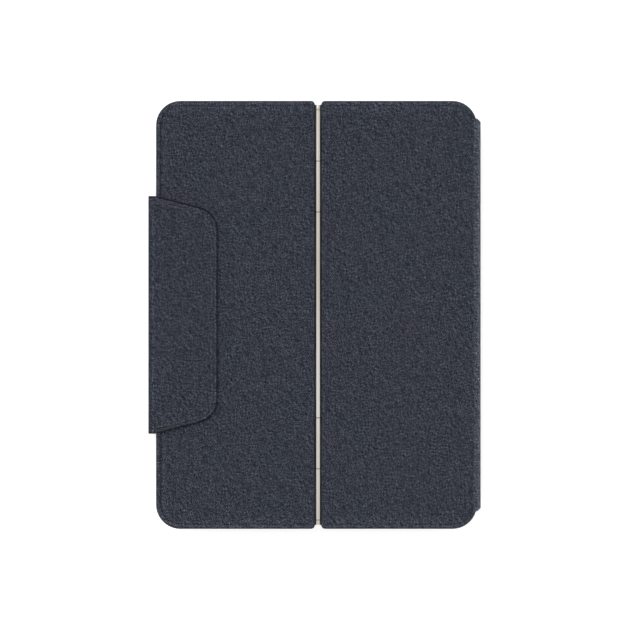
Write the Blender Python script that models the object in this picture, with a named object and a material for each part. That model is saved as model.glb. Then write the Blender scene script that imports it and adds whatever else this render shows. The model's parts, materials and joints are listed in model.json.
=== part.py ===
"""Tablet keyboard case, closed, lying on its rear shell with the two-panel cover uppermost.

Frame: metres, +Z up, origin under the middle of the case on the surface it rests on.
+X points from the clasp edge to the spine, +Y along the long side. Sizes below are in millimetres.
"""

import math

import bmesh
import bpy
from mathutils import Vector

MM = 0.001
GAP = 0.2  # clearance between layers that lie on each other
CORNER_STEPS = 7  # facets in a rounded corner
SMALL_HOLE_SIDES = 8
SMOOTH_BELOW = math.radians(40)

# ---- driving dimensions -------------------------------------------------------------------------
CASE_LENGTH = 256.0
CASE_LEFT = -94.9
SPINE_OUTER = 99.3
CLASP_OUTER = -SPINE_OUTER
CASE_CORNER_R = 14.5
FABRIC = 0.7  # outer cloth with its glue film
FOLD_RADIUS = 1.1  # outer radius of every cloth fold, also the pivot's depth under the cloth
FOLD_LEG = 1.2  # how far a rigid piece keeps back from a fold's axis

# rear shell, from the table upwards
SHELL_TOP = 2.0
SHELL_SHORTER = 0.4  # than the cover, at each end
SHELL_EDGE_R = 0.6
PLATE = (0.9, 1.9)
LINING = (2.1, 2.5)
RIM = (2.7, 8.9)
SHELL_RIGHT = SPINE_OUTER - FOLD_RADIUS - FOLD_LEG

# tablet that the tray is cut for
TABLET_SIDE_RIGHT = 95.2
TABLET_WIDTH = 178.5
TABLET_LENGTH = 247.6
TABLET_CORNER_R = 18.0
TABLET_FIT = 0.3
RIM_WALL = 1.5
BORDER_LINING_END = 88.0
STYLUS_GAP_LENGTH = 172.0  # break in the rim where the stylus clings to the tablet
CAMERA = (-69.0, -109.5)
CAMERA_HOLE_R = 9.6
CAMERA_RING_R = (8.0, 9.3)
CAMERA_RING_Z = (0.2, 2.6)

# cover panels
COVER = (15.1, 18.9)
COVER_LINING_TOP = 15.6
COVER_BOARD = (15.8, 18.0)
COVER_EDGE_R = 1.0
SLOT = (0.1, 3.9)  # the gap between the panels, where the hinge lies
SLOT_CORNER_R = 2.3
HINGE_AXIS = (2.0, 17.9)
TUBE_R = 1.5
BORE_R = 0.95
PIN_R = 0.75
TUBE_SIDES = 20
KNUCKLE_ENDS = (61.5, 91.9, 122.6, 125.6)  # centre tube, inner knuckle, outer knuckle, cap
KNUCKLE_JOINT = 0.2
LEAF = (16.4, 17.1)
LEAF_REACH = 14.0
LEAF_INSET = 3.0  # a leaf is shorter than its knuckle by this at each end
LEAF_CLEAR = 0.4  # room round a leaf in its board
SLIT_CLEAR = 0.3  # room round a leaf in the cloth
SLIT_REACH = (1.4, 3.2)  # from the hinge's axis, across the cloth of the slot's side
MIDDLE_LEAF = (20.0, 44.0)
GLUE_HOLE_R = 1.3
GLUE_HOLE_INSET = (4.0, 5.0)  # from a leaf's far edge and from its ends
PIN_REACH = 9.0  # how far a pin runs into the centre tube
PIN_HEAD_TAPER = (0.8, 0.6)  # along the head and across it

# spine and clasp
SPINE_HALF = (117.7, 114.3)  # half length at its inner face and at its outer face
CLASP_HALF = 70.9
FLAP = (19.1, 21.3)
FLAP_EDGE = -58.4
FLAP_EDGE_HALF = 61.5
FLAP_CORNER_R = 14.0
FLAP_SHOULDER = -94.3  # where the flap's ends begin to slope
FLAP_EDGE_R = 0.7
FLAP_LINING = 0.4

# keyboard, upside down under the cover panel beside the spine
KEYBOARD_X = (5.2, 95.2)
KEYBOARD_HALF = 123.0
KEYBOARD_CORNER_R = 5.0
KEY_TOP = 9.6
DECK = (10.2, 10.9)
KEY_WEB = (11.1, 11.4)  # strip under the deck that carries the keycaps of one group
KEY_BASE = 11.5
MEMBRANE = (12.5, 12.75)
INNARDS = (12.95, 13.75)
FLOOR = (13.95, 14.7)
CASE_WALL = 1.8
KEY_PITCH_U = 16.6
KEY_PITCH_V = 15.8
FUNCTION_PITCH_V = 8.4
KEY_SPACING = 2.4  # between neighbouring keycaps
WELL_CLEARANCE = 0.35

# colour, roughness, metallic
FINISHES = {
    "fabric": ((0.042, 0.046, 0.060), 0.9, 0.0),
    "lining": ((0.060, 0.062, 0.070), 0.95, 0.0),
    "board": ((0.10, 0.10, 0.11), 0.7, 0.0),
    "tray": ((0.030, 0.031, 0.036), 0.55, 0.0),
    "steel": ((0.80, 0.77, 0.73), 0.18, 1.0),
    "magnet": ((0.55, 0.55, 0.57), 0.3, 1.0),
    "keyboard_case": ((0.050, 0.052, 0.060), 0.5, 0.0),
    "keycap": ((0.030, 0.031, 0.036), 0.45, 0.0),
    "rubber": ((0.02, 0.02, 0.022), 0.8, 0.0),
    "circuit": ((0.02, 0.07, 0.05), 0.5, 0.0),
    "battery": ((0.30, 0.31, 0.33), 0.4, 0.0),
}


# ---- mesh helpers -------------------------------------------------------------------------------
def clear_scene():
    for obj in list(bpy.data.objects):
        bpy.data.objects.remove(obj)


def finish(name):
    """The named Principled material, made once."""
    found = bpy.data.materials.get(name)
    if found:
        return found
    colour, roughness, metallic = FINISHES[name]
    made = bpy.data.materials.new(name)
    made.use_nodes = True
    shader = made.node_tree.nodes["Principled BSDF"]
    shader.inputs["Base Color"].default_value = (*colour, 1.0)
    shader.inputs["Roughness"].default_value = roughness
    shader.inputs["Metallic"].default_value = metallic
    return made


def add_object(name, bm, material):
    """Links bm, whose points are in millimetres, as an object."""
    bmesh.ops.recalc_face_normals(bm, faces=bm.faces)
    for vertex in bm.verts:
        vertex.co *= MM
    mesh = bpy.data.meshes.new(name)
    bm.to_mesh(mesh)
    bm.free()
    mesh.materials.append(finish(material))
    mesh.shade_smooth()
    mesh.set_sharp_from_angle(angle=SMOOTH_BELOW)
    obj = bpy.data.objects.new(name, mesh)
    bpy.context.scene.collection.objects.link(obj)
    return obj


def set_origin(obj, pivot):
    """Moves the object's origin to pivot, in millimetres, and leaves its shape where it is."""
    target = Vector(pivot) * MM
    shift = target - obj.location
    for vertex in obj.data.vertices:
        vertex.co -= shift
    obj.location = target


def rounded_polygon(corners, inset=0.0, steps=CORNER_STEPS):
    """Points of an anticlockwise polygon of (x, y, radius) corners, its edges moved in by inset."""
    count = len(corners)
    flat = [Vector(corner[:2]) for corner in corners]
    points = []
    for i, corner in enumerate(corners):
        before = (flat[i] - flat[i - 1]).normalized()
        after = (flat[(i + 1) % count] - flat[i]).normalized()
        turn = before.angle_signed(after) * -1.0
        inward = Vector((-before.y, before.x)) + Vector((-after.y, after.x))
        tip = flat[i] + inward * (inset / (1.0 + before.dot(after)))
        radius = max(corner[2] - inset, 0.0)
        if radius < 0.05:
            points.append(tip)
            continue
        run = radius * math.tan(turn / 2)
        start = tip - before * run
        centre = start + Vector((-before.y, before.x)) * radius
        spoke = start - centre
        for step in range(steps + 1):
            angle = turn * step / steps
            cos, sin = math.cos(angle), math.sin(angle)
            points.append(centre + Vector((spoke.x * cos - spoke.y * sin, spoke.x * sin + spoke.y * cos)))
    return points


def rectangle(x0, x1, y0, y1, radii):
    """Corners for rounded_polygon: radii in the order left-low, right-low, right-high, left-high."""
    places = ((x0, y0), (x1, y0), (x1, y1), (x0, y1))
    return [(x, y, r) for (x, y), r in zip(places, radii)]


def loft_into(bm, rings, closed=False):
    """Joins rings of points with side faces. Open lofts get a cap at each end."""
    made = [[bm.verts.new(point) for point in ring] for ring in rings]
    pairs = list(zip(made, made[1:]))
    if closed:
        pairs.append((made[-1], made[0]))
    else:
        bm.faces.new(made[0])
        bm.faces.new(made[-1])
    for low, high in pairs:
        for i in range(len(low)):
            j = (i + 1) % len(low)
            bm.faces.new((low[i], low[j], high[j], high[i]))


def level(outline, z):
    return [(point[0], point[1], z) for point in outline]


def edge_rounding(corners, z_face, z_side, radius, inset=0.0, steps=3):
    """Rings from the side at z_side to the face at z_face, round the edge between them."""
    towards = 1.0 if z_face > z_side else -1.0
    rings = [level(rounded_polygon(corners, inset), z_side)]
    for step in range(steps + 1):
        angle = math.pi / 2 * step / steps
        ring = rounded_polygon(corners, inset + radius * (1 - math.cos(angle)))
        rings.append(level(ring, z_face - towards * radius * (1 - math.sin(angle))))
    return rings


def plate(name, corners, span, material, inset=0.0):
    """A flat sheet of the given outline between two heights."""
    bm = bmesh.new()
    outline = rounded_polygon(corners, inset)
    loft_into(bm, [level(outline, span[0]), level(outline, span[1])])
    return add_object(name, bm, material)


def cup(name, corners, wall, heights, radius, material):
    """Cloth drawn over a board: heights are the open rim, the inner face and the outer face."""
    z_rim, z_inner, z_outer = heights
    inner = rounded_polygon(corners, wall)
    bm = bmesh.new()
    rings = [level(inner, z_inner), level(inner, z_rim)]
    rings += edge_rounding(corners, z_outer, z_rim, radius)
    loft_into(bm, rings)
    return add_object(name, bm, material)


def box_into(bm, x, y, z):
    outline = rounded_polygon(rectangle(*x, *y, (0, 0, 0, 0)))
    loft_into(bm, [level(outline, z[0]), level(outline, z[1])])


def circle(centre, radius, sides):
    angles = [2 * math.pi * (i + 0.5) / sides for i in range(sides)]
    return [(centre[0] + radius * math.cos(a), centre[1] + radius * math.sin(a)) for a in angles]


def disc_into(bm, centre, radius, z, sides):
    ring = circle(centre, radius, sides)
    loft_into(bm, [level(ring, z[0]), level(ring, z[1])])


def across_y(outline, y):
    """An (x, z) outline set at one place along Y."""
    return [(point[0], y, point[1]) for point in outline]


def along_y_into(bm, axis, stations, closed=False):
    """A turned piece about a line along Y: stations are (y, radius) in order round its profile."""
    loft_into(bm, [across_y(circle(axis, radius, TUBE_SIDES), y) for y, radius in stations], closed)


def solid(name, material, fill):
    """A node of what fill draws."""
    bm = bmesh.new()
    fill(bm)
    return add_object(name, bm, material)


def combine(obj, operation, fill):
    """Joins to obj, or takes from it, what fill draws into a hidden helper's mesh."""
    helper = solid(f"helper_{operation.lower()}_{obj.name}", "board", fill)
    helper.hide_render = True
    helper.display_type = "WIRE"
    modifier = obj.modifiers.new(operation.lower(), "BOOLEAN")
    modifier.operation = operation
    modifier.object = helper
    return obj


def cut(obj, fill):
    return combine(obj, "DIFFERENCE", fill)


def join(obj, fill):
    return combine(obj, "UNION", fill)


# ---- shared outlines ----------------------------------------------------------------------------
HALF = CASE_LENGTH / 2
SHELL_HALF = HALF - SHELL_SHORTER
SHELL = rectangle(CASE_LEFT, SHELL_RIGHT, -SHELL_HALF, SHELL_HALF, (CASE_CORNER_R,) * 4)
FREE_RADII = (CASE_CORNER_R, SLOT_CORNER_R, SLOT_CORNER_R, CASE_CORNER_R)
HINGE_RADII = (SLOT_CORNER_R, CASE_CORNER_R, CASE_CORNER_R, SLOT_CORNER_R)
FREE_PANEL = rectangle(CASE_LEFT, SLOT[0], -HALF, HALF, FREE_RADII)
HINGE_PANEL = rectangle(SLOT[1], SHELL_RIGHT, -HALF, HALF, HINGE_RADII)
TRAY = rectangle(
    TABLET_SIDE_RIGHT - TABLET_WIDTH - TABLET_FIT,
    TABLET_SIDE_RIGHT + TABLET_FIT,
    -TABLET_LENGTH / 2 - TABLET_FIT,
    TABLET_LENGTH / 2 + TABLET_FIT,
    (TABLET_CORNER_R + TABLET_FIT,) * 4,
)
KEYBOARD = rectangle(*KEYBOARD_X, -KEYBOARD_HALF, KEYBOARD_HALF, (KEYBOARD_CORNER_R,) * 4)
FLAP_LEFT = CLASP_OUTER + FOLD_RADIUS + FOLD_LEG
FLAP_OUTLINE = [
    (FLAP_LEFT, -CLASP_HALF, 0),
    (FLAP_SHOULDER, -CLASP_HALF, 0),
    (FLAP_EDGE, -FLAP_EDGE_HALF, FLAP_CORNER_R),
    (FLAP_EDGE, FLAP_EDGE_HALF, FLAP_CORNER_R),
    (FLAP_SHOULDER, CLASP_HALF, 0),
    (FLAP_LEFT, CLASP_HALF, 0),
]

# ---- magnet arrays: magnets along Y on one steel strip ------------------------------------------
MAGNET = (4.0, 9.0)  # half width and half length
STRIP_HALF = 2.0
STRIP_SHARE = 0.4  # of the array's thickness
SHELL_MAGNETS = (-30.0, (-84.0, -28.0, 28.0, 84.0))
PANEL_MAGNETS = (77.0, (-96.0, -32.0, 32.0, 96.0))
CLASP_MAGNETS = (-70.0, (-36.0, 0.0, 36.0))


def array_into(bm, places, z, room=0.0):
    x, centres = places
    wide, long = MAGNET[0] + room, MAGNET[1] + room
    for y in centres:
        box_into(bm, (x - wide, x + wide), (y - long, y + long), z)


def strip_into(bm, places, z, room=0.0):
    x, centres = places
    wide = STRIP_HALF + room
    box_into(bm, (x - wide, x + wide), (centres[0], centres[-1]), z)


def magnet_array(name, places, z):
    array = solid(name, "magnet", lambda bm: array_into(bm, places, z))
    strip_z = (z[0] + 0.1, z[0] + 0.1 + STRIP_SHARE * (z[1] - z[0]))
    join(array, lambda bm: strip_into(bm, places, strip_z))
    return array


def pocket(board, places, z):
    """Room in a board for a magnet array, cut right through."""
    cut(board, lambda bm: array_into(bm, places, z, GAP))
    cut(board, lambda bm: strip_into(bm, places, z, GAP))


# ---- rear shell ---------------------------------------------------------------------------------
BUTTONS = {  # (centre along the short side at low Y, half width)
    "power_button_cover": (-52.0, 6.5),
    "volume_up_button_cover": (60.0, 5.5),
    "volume_down_button_cover": (73.0, 5.5),
}
BUTTON_Z = (4.6, 6.9)
BUTTON_PROUD = 0.5
BUTTON_BACK = 0.4  # from a button cover's inner face to the tablet's edge
BUTTON_CORNER_R = 1.1
PORT_HALF = 7.0
SPEAKERS = {-1: (-28.0,), 1: (-62.0, 74.0)}  # centres of the slots at each end of the tray
SPEAKER_HALF = 9.0
SPEAKER_Z = (4.7, 6.7)


def camera_cutter(bm):
    disc_into(bm, CAMERA, CAMERA_HOLE_R, (-1.0, 4.0), TUBE_SIDES)


def border_lining():
    """Lining of the shell outside the tray rim, which ends short of the spine."""
    border = plate("shell_border_lining", SHELL, LINING, "lining", FABRIC + GAP)
    span = (LINING[0] - 1, LINING[1] + 1)
    outline = rounded_polygon(TRAY, -RIM_WALL - GAP)
    cut(border, lambda bm: loft_into(bm, [level(outline, span[0]), level(outline, span[1])]))
    cut(border, lambda bm: box_into(bm, (BORDER_LINING_END, SPINE_OUTER), (-CASE_LENGTH, CASE_LENGTH), span))


def rear_shell():
    cloth = cup("shell_back_fabric", SHELL, FABRIC, (SHELL_TOP, FABRIC, 0.0), SHELL_EDGE_R, "fabric")
    cut(cloth, camera_cutter)
    board = plate("shell_back_plate", SHELL, PLATE, "board", FABRIC + GAP)
    cut(board, camera_cutter)
    pocket(board, SHELL_MAGNETS, (PLATE[0] - 1, PLATE[1] + 1))
    magnet_array("shell_magnet_array", SHELL_MAGNETS, PLATE)
    cut(plate("tablet_bed_lining", TRAY, LINING, "lining", GAP), camera_cutter)
    border_lining()

    def trim(bm):
        (inner, outer), (low, high) = CAMERA_RING_R, CAMERA_RING_Z
        profile = ((inner, low), (outer, low), (outer, high), (inner, high))
        loft_into(bm, [level(circle(CAMERA, radius, TUBE_SIDES), z) for radius, z in profile], closed=True)

    solid("camera_trim_ring", "tray", trim)
    tray_rim()


def tray_rim():
    """Flexible bumper round the tablet in two pieces, parted at the stylus side and at the charging port.

    It is pierced for the buttons and the speakers.
    """
    outer, inner = rounded_polygon(TRAY, -RIM_WALL), rounded_polygon(TRAY)
    low, high = RIM
    rings = [level(inner, low), level(outer, low), level(outer, high), level(inner, high)]
    low_end, high_end = TRAY[0][1], TRAY[2][1]
    left, right = TRAY[0][0] - 3, TRAY[1][0] + 3
    middle = (TRAY[0][0] + TRAY[1][0]) / 2
    port = (middle - PORT_HALF, middle + PORT_HALF)
    z = (low - 1, high + 1)

    def openings(bm):
        half = STYLUS_GAP_LENGTH / 2
        box_into(bm, (left, TRAY[0][0] + 2), (-half, half), z)
        for centre, half_width in BUTTONS.values():
            x = (centre - half_width - GAP, centre + half_width + GAP)
            box_into(bm, x, (low_end - 3, low_end + 2), (BUTTON_Z[0] - GAP, BUTTON_Z[1] + GAP))
        for end, centres in SPEAKERS.items():
            for x in centres:
                y = (end * high_end - 3, end * high_end + 3)
                box_into(bm, (x - SPEAKER_HALF, x + SPEAKER_HALF), y, SPEAKER_Z)

    above, below = (0.0, high_end + 3), (low_end - 3, 0.0)
    removed = {
        "tray_rim_short_piece": [((port[0], right), above), ((left, right), below)],
        "tray_rim_long_piece": [((left, port[1]), above)],
    }
    for name, boxes in removed.items():
        rim = solid(name, "tray", lambda bm: loft_into(bm, rings, closed=True))
        cut(rim, openings)
        for x, y in boxes:
            cut(rim, lambda bm: box_into(bm, x, y, z))
    y0, y1 = low_end - RIM_WALL - BUTTON_PROUD, low_end - BUTTON_BACK
    for name, (centre, half_width) in BUTTONS.items():
        corners = rectangle(centre - half_width, centre + half_width, *BUTTON_Z, (BUTTON_CORNER_R,) * 4)
        outline = rounded_polygon(corners, 0.0, 4)
        rings = [across_y(outline, y0), across_y(outline, y1)]
        cap = solid(name, "tray", lambda bm: loft_into(bm, rings))
        set_origin(cap, (centre, y0, sum(BUTTON_Z) / 2))


# ---- cloth folds --------------------------------------------------------------------------------
def spine_end(x):
    """Half length of the spine where its cloth is at x: its ends slope in towards the outside."""
    share = (x - SHELL_RIGHT) / (SPINE_OUTER - SHELL_RIGHT)
    return SPINE_HALF[0] + share * (SPINE_HALF[1] - SPINE_HALF[0])


def clasp_end(_x):
    return CLASP_HALF


def spine_board_end(x):
    return spine_end(x) - STIFFENER_INSET


def clasp_board_end(_x):
    return CLASP_HALF - STIFFENER_INSET


def prism_y_into(bm, section, end_at):
    """A bar along Y of the given (x, z) section, its half length read from end_at(x)."""
    loft_into(bm, [[(x, sign * end_at(x), z) for x, z in section] for sign in (-1, 1)])


def fold_section(pivot, side, up, reach_x, reach_z):
    """Section of the cloth round one fold: flat leg, quarter round, upright leg."""
    outer, inner = FOLD_RADIUS, FOLD_RADIUS - FABRIC

    def arc(radius):
        wide, tall = side * radius, up * radius
        angles = [math.pi / 2 * step / FOLD_STEPS for step in range(FOLD_STEPS + 1)]
        return [(pivot[0] + wide * math.sin(a), pivot[1] + tall * math.cos(a)) for a in angles]

    flat_x, foot_z = pivot[0] - side * reach_x, pivot[1] - up * reach_z
    path = [(flat_x, pivot[1] + up * outer), *arc(outer), (pivot[0] + side * outer, foot_z)]
    back = [(pivot[0] + side * inner, foot_z), *reversed(arc(inner)), (flat_x, pivot[1] + up * inner)]
    return path + back


SPINE_FOLD_X = SPINE_OUTER - FOLD_RADIUS
CLASP_FOLD_X = CLASP_OUTER + FOLD_RADIUS
LOWER_FOLD_Z = FOLD_RADIUS
COVER_FOLD_Z = COVER[1] - FOLD_RADIUS
FLAP_FOLD_Z = FLAP[1] - FOLD_RADIUS
LEG = FOLD_LEG - GAP
FOLD_STEPS = 5
STIFFENER = 0.8  # thickness of the strips that keep the spine and the clasp flat
STIFFENER_CLEAR = 0.6
STIFFENER_INSET = 2.0


def fold(name, pivot, side, up, end_at, reach_x=LEG):
    section = fold_section(pivot, side, up, reach_x, LEG)
    cloth = solid(name, "fabric", lambda bm: prism_y_into(bm, section, end_at))
    set_origin(cloth, (pivot[0], 0.0, pivot[1]))


def upright(name, material, x, z, end_at, pivot):
    """A flat strip standing on edge between two folds."""
    section = [(x[0], z[0]), (x[1], z[0]), (x[1], z[1]), (x[0], z[1])]
    strip = solid(name, material, lambda bm: prism_y_into(bm, section, end_at))
    set_origin(strip, (pivot[0], 0.0, pivot[1]))


def spine():
    low, high = LOWER_FOLD_Z + FOLD_LEG, COVER_FOLD_Z - FOLD_LEG
    pivot = (SPINE_FOLD_X, LOWER_FOLD_Z)
    cloth_x = SPINE_OUTER - FABRIC
    fold("spine_lower_fold_fabric", pivot, 1, -1, spine_end)
    fold("spine_upper_fold_fabric", (SPINE_FOLD_X, COVER_FOLD_Z), 1, 1, spine_end)
    upright("spine_fabric", "fabric", (cloth_x, SPINE_OUTER), (low, high), spine_end, pivot)
    board_x = (cloth_x - GAP - STIFFENER, cloth_x - GAP)
    board_z = (low + STIFFENER_CLEAR, high - STIFFENER_CLEAR)
    upright("spine_stiffener", "board", board_x, board_z, spine_board_end, pivot)


def clasp():
    low, high = LOWER_FOLD_Z + FOLD_LEG, FLAP_FOLD_Z - FOLD_LEG
    pivot = (CLASP_FOLD_X, LOWER_FOLD_Z)
    cloth_x = CLASP_OUTER + FABRIC
    reach = CASE_LEFT - CLASP_FOLD_X - GAP
    fold("clasp_lower_fold_fabric", pivot, -1, -1, clasp_end, reach_x=reach)
    fold("clasp_upper_fold_fabric", (CLASP_FOLD_X, FLAP_FOLD_Z), -1, 1, clasp_end)
    upright("clasp_strip_fabric", "fabric", (CLASP_OUTER, cloth_x), (low, high), clasp_end, pivot)
    board_x = (cloth_x + GAP, cloth_x + GAP + STIFFENER)
    board_z = (low + STIFFENER_CLEAR, high - STIFFENER_CLEAR)
    upright("clasp_strip_stiffener", "board", board_x, board_z, clasp_board_end, pivot)

    flap_pivot = (CLASP_FOLD_X, 0.0, FLAP_FOLD_Z)
    z_rim, z_outer = FLAP
    z_lining, z_ceiling = z_rim + FLAP_LINING, z_outer - FABRIC
    cloth = cup("clasp_flap_fabric", FLAP_OUTLINE, FABRIC, (z_rim, z_ceiling, z_outer), FLAP_EDGE_R, "fabric")
    board_z = (z_lining + 0.1, z_ceiling - 0.1)
    board = plate("clasp_flap_stiffener", FLAP_OUTLINE, board_z, "board", FABRIC + GAP)
    pocket(board, CLASP_MAGNETS, (z_rim, z_outer))
    lining = plate("clasp_flap_lining", FLAP_OUTLINE, (z_rim, z_lining), "lining", FABRIC + GAP)
    magnets = magnet_array("clasp_magnet_array", CLASP_MAGNETS, board_z)
    for obj in (cloth, board, lining, magnets):
        set_origin(obj, flap_pivot)


# ---- cover --------------------------------------------------------------------------------------
def leaf_spans(side, low=-HALF, high=HALF):
    """The stretches of Y, between low and high, where steel leaves are let into one panel."""
    centre_end, inner_end, outer_end, _head_end = KNUCKLE_ENDS
    if side == "hinge":
        above = [(centre_end + LEAF_INSET, inner_end - LEAF_INSET)]
    else:
        above = [MIDDLE_LEAF, (inner_end + LEAF_INSET, outer_end - LEAF_INSET)]
    spans = [span for start, end in above for span in ((start, end), (-end, -start))]
    return [span for span in spans if low < span[0] and span[1] < high]


def toward(side):
    """-1 for the panel left of the hinge, 1 for the one right of it."""
    return 1 if side == "hinge" else -1


def leaf_box(bm, side, span, room_y, x_from, x_to, z):
    x = sorted((HINGE_AXIS[0] + toward(side) * x_from, HINGE_AXIS[0] + toward(side) * x_to))
    box_into(bm, x, (span[0] - room_y, span[1] + room_y), z)


def cover_panel(side, corners, magnets):
    z_in, z_out = COVER
    heights = (z_in, COVER_BOARD[1] + GAP, z_out)
    through = (COVER_BOARD[0] - 1, COVER_BOARD[1] + 1)
    slit_z = (LEAF[0] - SLIT_CLEAR, LEAF[1] + SLIT_CLEAR)
    cloth = cup(f"{side}_panel_fabric", corners, FABRIC, heights, COVER_EDGE_R, "fabric")
    board = plate(f"{side}_panel_board", corners, COVER_BOARD, "board", FABRIC + GAP)
    plate(f"{side}_panel_lining", corners, (z_in, COVER_LINING_TOP), "lining", FABRIC + GAP)

    def slits(bm):
        for span in leaf_spans(side):
            leaf_box(bm, side, span, SLIT_CLEAR, *SLIT_REACH, slit_z)

    def leaf_pockets(bm):
        for span in leaf_spans(side):
            leaf_box(bm, side, span, LEAF_CLEAR, 0.0, LEAF_REACH + LEAF_CLEAR, through)

    cut(cloth, slits)
    cut(board, leaf_pockets)
    pocket(board, magnets, through)
    magnet_array(f"{side}_panel_magnet_array", magnets, COVER_BOARD)


def glue_holes(leaves, side):
    """Places of the holes in the leaves, which the glue grips."""
    from_edge, from_end = GLUE_HOLE_INSET
    x = HINGE_AXIS[0] + toward(side) * (LEAF_REACH - from_edge)
    return [(x, y) for low, high in leaves for y in (low + from_end, high - from_end)]


def knuckle(name, side, span):
    """A steel tube with the leaves that fasten it to its panel."""
    low, high = span
    leaves = leaf_spans(side, low, high)
    profile = [(low, BORE_R), (low, TUBE_R), (high, TUBE_R), (high, BORE_R)]

    def leaves_into(bm):
        for leaf in leaves:
            leaf_box(bm, side, leaf, 0.0, 0.0, LEAF_REACH, LEAF)

    def bore_and_holes(bm):
        along_y_into(bm, HINGE_AXIS, [(low - 1, BORE_R), (high + 1, BORE_R)])
        for place in glue_holes(leaves, side):
            disc_into(bm, place, GLUE_HOLE_R, (LEAF[0] - 1, LEAF[1] + 1), SMALL_HOLE_SIDES)

    tube = solid(name, "steel", lambda bm: along_y_into(bm, HINGE_AXIS, profile, closed=True))
    set_origin(tube, (HINGE_AXIS[0], 0.0, HINGE_AXIS[1]))
    join(tube, leaves_into)
    cut(tube, bore_and_holes)


def hinge_pin(name, sign):
    """A pin from inside the centre tube out to the head that closes the hinge's end."""
    centre_end, _inner_end, outer_end, head_end = KNUCKLE_ENDS
    head = outer_end + KNUCKLE_JOINT / 2
    along, across = PIN_HEAD_TAPER
    profile = [(centre_end - PIN_REACH, PIN_R), (head, PIN_R), (head, TUBE_R)]
    profile += [(head_end - along, TUBE_R), (head_end, TUBE_R - across)]
    stations = [(sign * y, radius) for y, radius in profile]
    pin = solid(name, "steel", lambda bm: along_y_into(bm, HINGE_AXIS, stations))
    set_origin(pin, (HINGE_AXIS[0], 0.0, HINGE_AXIS[1]))


def kickstand_hinge():
    centre_end, inner_end, outer_end, _head_end = KNUCKLE_ENDS
    half_joint = KNUCKLE_JOINT / 2
    knuckle("hinge_centre_tube", "free", (-centre_end + half_joint, centre_end - half_joint))
    for end, sign in (("top", 1), ("bottom", -1)):
        inner = sorted((sign * (centre_end + half_joint), sign * (inner_end - half_joint)))
        outer = sorted((sign * (inner_end + half_joint), sign * (outer_end - half_joint)))
        knuckle(f"hinge_inner_knuckle_{end}", "hinge", inner)
        knuckle(f"hinge_outer_knuckle_{end}", "free", outer)
        hinge_pin(f"hinge_pin_{end}", sign)


def cover():
    cover_panel("hinge", HINGE_PANEL, PANEL_MAGNETS)
    cover_panel("free", FREE_PANEL, CLASP_MAGNETS)
    kickstand_hinge()


# ---- keyboard -----------------------------------------------------------------------------------
# Each row from the typist's side to the far side, as runs of (node, first unit, widths in units).
KEY_ROWS = [
    [
        ("left_modifier_keys", 0.0, [1.0, 1.0, 1.0, 1.25]),
        ("space_bar", 4.25, [5.0]),
        ("right_modifier_keys", 9.25, [1.25, 1.0]),
        ("arrow_keys", 11.5, [1.0, 1.0, 1.0]),
    ],
    [("lower_letter_keys", 0.0, [2.1] + [1.0] * 10 + [2.4])],
    [("home_letter_keys", 0.0, [1.7] + [1.0] * 11), ("return_key", 12.7, [1.8])],
    [("upper_letter_keys", 0.0, [1.5] + [1.0] * 13)],
    [("number_keys", 0.0, [1.0] * 13 + [1.5])],
    [("function_keys", 0.0, [14.5 / 14] * 14)],
]
KEY_UNITS = 14.5
KEY_TAPER = 0.5
KEY_CHAMFER = 0.7
ARROW_SPLIT_UNIT = 12.5  # where the up and down keys share one place
ARROW_SPLIT = 0.4
WEB_HALF = 2.0


def key_cells():
    """(node, x span, y span) of every keycap. Rows run along Y, the front row at low X."""
    margin = (2 * KEYBOARD_HALF - KEY_UNITS * KEY_PITCH_U) / 2
    depth = (len(KEY_ROWS) - 1) * KEY_PITCH_V + FUNCTION_PITCH_V
    x = (sum(KEYBOARD_X) - depth) / 2
    half = KEY_SPACING / 2
    cells = []
    for row in KEY_ROWS:
        pitch = FUNCTION_PITCH_V if row[0][0] == "function_keys" else KEY_PITCH_V
        x_span = (x + half, x + pitch - half)
        for node, unit, widths in row:
            for width in widths:
                y = -KEYBOARD_HALF + margin + unit * KEY_PITCH_U
                y_span = (y + half, y + width * KEY_PITCH_U - half)
                if node == "arrow_keys" and unit == ARROW_SPLIT_UNIT:
                    middle = sum(x_span) / 2
                    cells.append((node, (x_span[0], middle - ARROW_SPLIT), y_span))
                    cells.append((node, (middle + ARROW_SPLIT, x_span[1]), y_span))
                else:
                    cells.append((node, x_span, y_span))
                unit += width
        x += pitch
    return cells


def keycap_into(bm, x, y):
    corners = rectangle(*x, *y, (KEY_CHAMFER,) * 4)
    base = rounded_polygon(corners, 0.0, 1)
    top = rounded_polygon(corners, KEY_TAPER, 1)
    loft_into(bm, [level(top, KEY_TOP), level(base, DECK[0]), level(base, KEY_BASE)])


def key_groups(cells):
    """Each group's keycaps stand on one strip under the deck and travel together."""
    for node in sorted({cell[0] for cell in cells}):
        spans = [(x, y) for name, x, y in cells if name == node]

        def caps(bm):
            for x, y in spans:
                keycap_into(bm, x, y)

        def web(bm):
            middle = (min(x[0] for x, y in spans) + max(x[1] for x, y in spans)) / 2
            y_span = (min(y[1] for x, y in spans) - 2, max(y[0] for x, y in spans) + 2)
            box_into(bm, (middle - WEB_HALF, middle + WEB_HALF), y_span, KEY_WEB)

        keys = solid(node, "keycap", caps)
        if len(spans) > 1:
            join(keys, web)


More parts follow.
